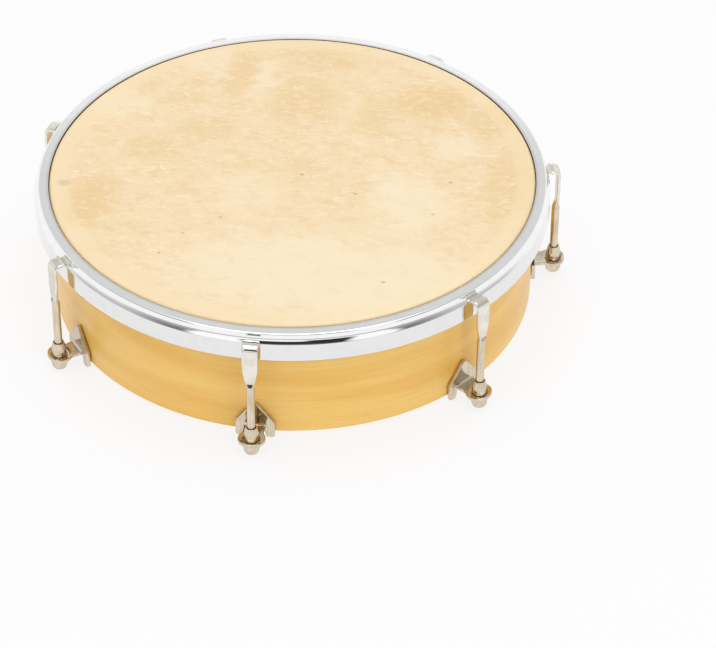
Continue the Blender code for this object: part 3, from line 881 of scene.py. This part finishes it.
def floor():
    body = bmesh.new()
    bmesh.ops.create_grid(body, x_segments=1, y_segments=1, size=FLOOR_SIZE / 2)
    mesh = bpy.data.meshes.new("floor")
    body.to_mesh(mesh)
    body.free()
    material, _, shader = new_material("pale_floor")
    shader.inputs["Base Color"].default_value = (0.15, 0.15, 0.15, 1)
    shader.inputs["Roughness"].default_value = 0.9
    shader.inputs["Specular IOR Level"].default_value = 0.0
    shader.inputs["Emission Color"].default_value = (1.0, 0.995, 1.0, 1)
    shader.inputs["Emission Strength"].default_value = FLOOR_GLOW
    mesh.materials.append(material)
    ground = linked("floor", mesh)
    ground.location = (0, 0, -0.0002)


def within(tree, side, rise, low, high, soft):
    """1 inside a window of the room, given in degrees (side, rise), and 0 outside it."""
    shares = []
    for value, start, stop in ((side, low[0], high[0]), (rise, low[1], high[1])):
        shares.append(ranged(tree, value, start - soft, start + soft))
        shares.append(ranged(tree, value, stop - soft, stop + soft, 1.0, 0.0))
    first = calc(tree, "MULTIPLY", shares[0], shares[1])
    return calc(tree, "MULTIPLY", first, calc(tree, "MULTIPLY", shares[2], shares[3]))


def grey(level, cool=0.0):
    return (level * (1 - cool), level, level * (1 + cool), 1)


def sky():
    """What the metal mirrors: white low down, a grey room, a big soft light at the camera's side
    with a dark gap in its middle, and a bright ceiling."""
    world = bpy.data.worlds.new("studio")
    bpy.context.scene.world = world
    world.use_nodes = True
    tree = world.node_tree
    tree.nodes.clear()
    way = add(tree, "ShaderNodeTexCoord").outputs["Generated"]
    turned_way = add(tree, "ShaderNodeVectorRotate", {"Vector": way, "Angle": -math.radians(CAMERA_TURN)},
                     rotation_type="Z_AXIS").outputs[0]
    split = add(tree, "ShaderNodeSeparateXYZ", {0: turned_way})
    ahead = calc(tree, "MULTIPLY", split.outputs["Y"], -1.0)
    side = calc(tree, "DEGREES", calc(tree, "ARCTAN2", split.outputs["X"], ahead))
    rise = calc(tree, "DEGREES", calc(tree, "ARCSINE", split.outputs["Z"]))
    aside = calc(tree, "ABSOLUTE", side)
    front = mixed(tree, ranged(tree, rise, -22, 2), HORIZON, grey(WALL))
    front = mixed(tree, ranged(tree, rise, -4, 34), front, grey(WALL_TOP))
    outer = mixed(tree, ranged(tree, rise, -10, 24), HORIZON, grey(WALL))
    back = mixed(tree, ranged(tree, rise, *BACK_RISE), HORIZON, grey(WALL_BACK, 0.01))
    color = mixed(tree, ranged(tree, aside, *FRONT_TO_SIDE), front, outer)
    color = mixed(tree, ranged(tree, aside, *SIDE_TO_BACK), color, back)
    spread = calc(tree, "MULTIPLY_ADD", rise, LIGHT_SPREAD, 1 - 10 * LIGHT_SPREAD)
    narrowed = calc(tree, "DIVIDE", side, spread)
    color = mixed(tree, within(tree, narrowed, rise, *SOFT_LIGHT, 2.5), color, grey(LIGHT_LEVEL))
    gap = calc(tree, "MAXIMUM", within(tree, side, rise, *DARK_GAP, 2.5),
               within(tree, side, rise, *DARK_GAP_RIGHT, 3))
    color = mixed(tree, gap, color, grey(GAP_LEVEL))
    color = mixed(tree, ranged(tree, rise, *CEILING_RISE), color, grey(CEILING))
    glow = add(tree, "ShaderNodeBackground", {"Color": color, "Strength": 1.0})
    add(tree, "ShaderNodeOutputWorld", {"Surface": glow.outputs[0]})


def lamp(name, spot, aim, size, watts, mirrored):
    light = bpy.data.lights.new(name, "AREA")
    light.shape = "RECTANGLE"
    light.size, light.size_y = size
    light.energy = watts
    made = linked(name, light)
    made.visible_glossy = mirrored
    made.location = spot
    made.rotation_mode = "QUATERNION"
    made.rotation_quaternion = (Vector(aim) - Vector(spot)).to_track_quat("-Z", "Y")


def camera():
    rise, roll, turn = (math.radians(v) for v in (CAMERA_RISE, CAMERA_ROLL, CAMERA_TURN))
    back = Vector((0, -math.cos(rise), math.sin(rise)))
    right, up = Vector((1, 0, 0)), Vector((0, math.sin(rise), math.cos(rise)))
    rolled_right = right * math.cos(roll) + up * math.sin(roll)
    rolled_up = up * math.cos(roll) - right * math.sin(roll)
    heading = Matrix.Rotation(turn, 3, "Z")
    aim = Vector((AIM_ACROSS, AIM_BACK, 0))
    spot = heading @ (aim + back * CAMERA_DISTANCE) + Vector((0, AXIS_Y, AIM_Z))
    facing = Matrix((heading @ rolled_right, heading @ rolled_up, heading @ back)).transposed()
    data = bpy.data.cameras.new("camera")
    data.sensor_width = 36
    data.lens = CAMERA_LENS
    made = linked("camera", data)
    made.matrix_world = Matrix.Translation(spot * MM) @ facing.to_4x4()
    bpy.context.scene.camera = made


floor()
sky()
for settings in LAMPS:
    lamp(*settings)
camera()
bpy.context.scene.view_settings.view_transform = "Standard"
